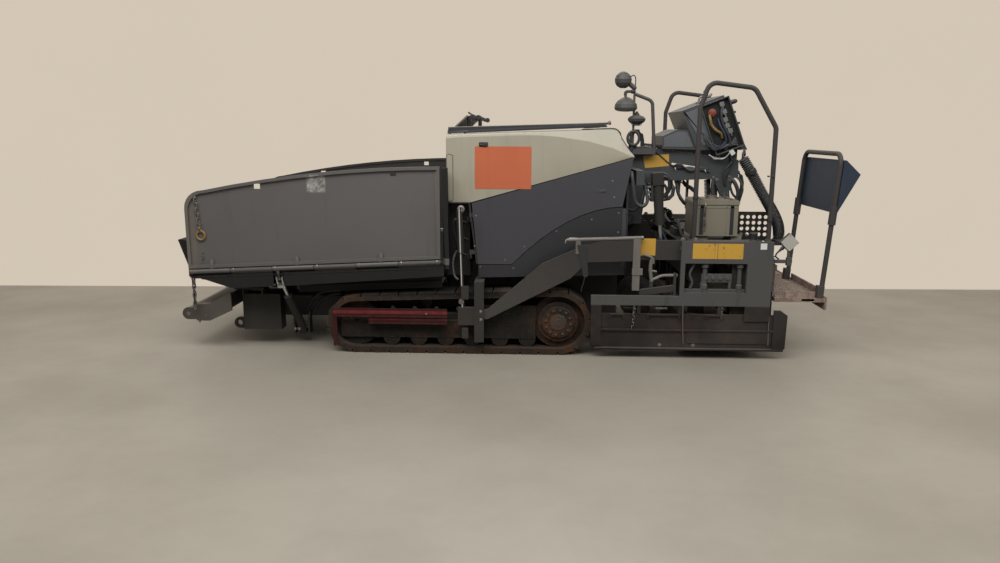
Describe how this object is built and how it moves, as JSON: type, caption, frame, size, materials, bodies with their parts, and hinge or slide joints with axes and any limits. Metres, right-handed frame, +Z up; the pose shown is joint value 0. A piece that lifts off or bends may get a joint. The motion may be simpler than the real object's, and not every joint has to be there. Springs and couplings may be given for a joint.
{
  "type": "tracked asphalt paver",
  "caption": "Compact tracked asphalt paver with a folding front hopper, conveyor, augers, engine hood and a towed extending screed.",
  "frame": {"origin": "on the ground under the middle of the overall length and width", "axes": "+X forward towards the hopper, +Y to the machine's left, +Z up"},
  "size_m": [4.8319, 1.85, 2.052],
  "materials": {
    "frame_grey": "worn satin paint",
    "hopper_grey": "worn satin paint",
    "cream": "semi-gloss paint",
    "slate": "satin paint",
    "track_steel": "dusty worn steel",
    "undercarriage": "dusty worn steel",
    "red": "worn paint",
    "steel": "bare steel",
    "screed_steel": "dusty, slightly rusted steel",
    "rail": "worn paint",
    "lamp": "weathered",
    "conduit": "ribbed",
    "walkway": "dusty, rusted",
    "tank": "worn paint",
    "engine": "matt"
  },
  "bodies": {
    "tractor": {"chassis": "frame_grey", "hopper": "hopper_grey", "conveyor": "track_steel", "engine": "engine", "side_skirts": "slate", "hood": "cream", "track_left": "track_steel", "track_right": "track_steel", "undercarriage_left": "undercarriage", "undercarriage_right": "undercarriage", "guard_bars": "red", "tow_guides": "frame_grey", "levelling_cylinders": "steel", "console_carrier": "slate", "beam_hoses": "conduit", "console": "slate", "lamp_mast": "lamp", "auger_drive": "frame_grey"},
    "wing_left": {"wing_left": "hopper_grey"},
    "wing_right": {"wing_right": "hopper_grey"},
    "wing_barrel_left": {"wing_barrel_left": "frame_grey"},
    "wing_barrel_right": {"wing_barrel_right": "frame_grey"},
    "wing_rod_left": {"wing_rod_left": "steel"},
    "wing_rod_right": {"wing_rod_right": "steel"},
    "apron": {"apron": "hopper_grey"},
    "push_beam": {"push_beam": "frame_grey"},
    "push_roller_left": {"push_roller_left": "screed_steel"},
    "push_roller_right": {"push_roller_right": "screed_steel"},
    "door_left": {"door_left": "slate"},
    "door_right": {"door_right": "slate"},
    "hood_lid": {"hood_lid": "frame_grey"},
    "auger_left": {"auger_left": "screed_steel"},
    "auger_right": {"auger_right": "screed_steel"},
    "screed": {"tow_arms": "slate", "screed_main": "screed_steel", "screed_deck": "frame_grey", "tank": "tank", "handrails": "rail", "conduit": "conduit"},
    "lift_barrels": {"lift_barrels": "frame_grey"},
    "lift_rods": {"lift_rods": "steel"},
    "extension_left": {"extension_left": "screed_steel", "end_gate_left": "screed_steel", "walkway_left": "walkway", "rear_rail": "rail"},
    "extension_right": {"extension_right": "screed_steel", "end_gate_right": "screed_steel", "walkway_right": "walkway"}
  },
  "joints": [
    {"name": "wing_left_fold", "type": "hinge", "parent": "tractor", "child": "wing_left", "pos_m": [0.489, 0.905, 0.69], "axis": [-0.9988, 0, 0.0493], "range_deg": [0, 65]},
    {"name": "wing_right_fold", "type": "hinge", "parent": "tractor", "child": "wing_right", "pos_m": [0.489, -0.905, 0.69], "axis": [0.9988, 0, -0.0493], "range_deg": [0, 65]},
    {"name": "wing_barrel_left_tilt", "type": "hinge", "parent": "tractor", "child": "wing_barrel_left", "pos_m": [1.587, 0.633, 0.125], "axis": [0.9866, -0.1033, -0.1263], "range_deg": [-0.6, 9.55]},
    {"name": "wing_rod_left_stroke", "type": "slide", "parent": "wing_barrel_left", "child": "wing_rod_left", "axis": [0.1609, 0.4867, 0.8586], "range_m": [-0.004, 0.0472]},
    {"name": "wing_barrel_right_tilt", "type": "hinge", "parent": "tractor", "child": "wing_barrel_right", "pos_m": [1.587, -0.633, 0.125], "axis": [-0.9866, -0.1033, 0.1263], "range_deg": [-0.6, 9.55]},
    {"name": "wing_rod_right_stroke", "type": "slide", "parent": "wing_barrel_right", "child": "wing_rod_right", "axis": [0.1609, -0.4867, 0.8586], "range_m": [-0.004, 0.0472]},
    {"name": "apron_tilt", "type": "hinge", "parent": "tractor", "child": "apron", "pos_m": [2.318, 0, 0.606], "axis": [0, 1, 0], "range_deg": [0, 50]},
    {"name": "push_beam_swing", "type": "hinge", "parent": "tractor", "child": "push_beam", "pos_m": [2.062, 0, 0.28], "axis": [0, 0, 1], "range_deg": [-4, 4]},
    {"name": "push_roller_left_spin", "type": "hinge", "parent": "push_beam", "child": "push_roller_left", "pos_m": [2.371, 0.44, 0.276], "axis": [0, 1, 0], "continuous": true},
    {"name": "push_roller_right_spin", "type": "hinge", "parent": "push_beam", "child": "push_roller_right", "pos_m": [2.371, -0.44, 0.276], "axis": [0, 1, 0], "continuous": true},
    {"name": "door_left_swing", "type": "hinge", "parent": "tractor", "child": "door_left", "pos_m": [0.284, 0.788, 0.9], "axis": [0, 0, -1], "range_deg": [0, 95]},
    {"name": "door_right_swing", "type": "hinge", "parent": "tractor", "child": "door_right", "pos_m": [0.284, -0.788, 0.9], "axis": [0, 0, 1], "range_deg": [0, 95]},
    {"name": "hood_lid_lift", "type": "hinge", "parent": "tractor", "child": "hood_lid", "pos_m": [0.44, 0, 1.5979], "axis": [0, 1, 0], "range_deg": [0, 55]},
    {"name": "auger_left_spin", "type": "hinge", "parent": "tractor", "child": "auger_left", "pos_m": [-0.988, 0.4, 0.345], "axis": [0, 1, 0], "continuous": true},
    {"name": "auger_right_spin", "type": "hinge", "parent": "tractor", "child": "auger_right", "pos_m": [-0.988, -0.4, 0.345], "axis": [0, 1, 0], "continuous": true},
    {"name": "screed_lift", "type": "hinge", "parent": "tractor", "child": "screed", "pos_m": [0.212, 0, 0.3], "axis": [0, 1, 0], "range_deg": [-1.5, 6]},
    {"name": "lift_barrel_tilt", "type": "hinge", "parent": "tractor", "child": "lift_barrels", "pos_m": [-1.043, 0, 1.29], "axis": [0, 1, 0], "range_deg": [-7.57, 2.27]},
    {"name": "lift_rod_stroke", "type": "slide", "parent": "lift_barrels", "child": "lift_rods", "axis": [-0.0888, 0, -0.9961], "range_m": [-0.138, 0.0368]},
    {"name": "extension_left_out", "type": "slide", "parent": "screed", "child": "extension_left", "axis": [0, 1, 0], "range_m": [0, 0.775]},
    {"name": "extension_right_out", "type": "slide", "parent": "screed", "child": "extension_right", "axis": [0, -1, 0], "range_m": [0, 0.775]}
  ],
  "couplings": [
    {"joint": "wing_barrel_left_tilt", "follows": "wing_left_fold", "ratio": 0.13769},
    {"joint": "wing_barrel_right_tilt", "follows": "wing_right_fold", "ratio": 0.13769},
    {"joint": "wing_rod_left_stroke", "follows": "wing_left_fold", "m_per_rad": 0.038102},
    {"joint": "wing_rod_right_stroke", "follows": "wing_right_fold", "m_per_rad": 0.038102},
    {"joint": "lift_barrel_tilt", "follows": "screed_lift", "ratio": -1.1778},
    {"joint": "lift_rod_stroke", "follows": "screed_lift", "m_per_rad": -1.2893}
  ]
}
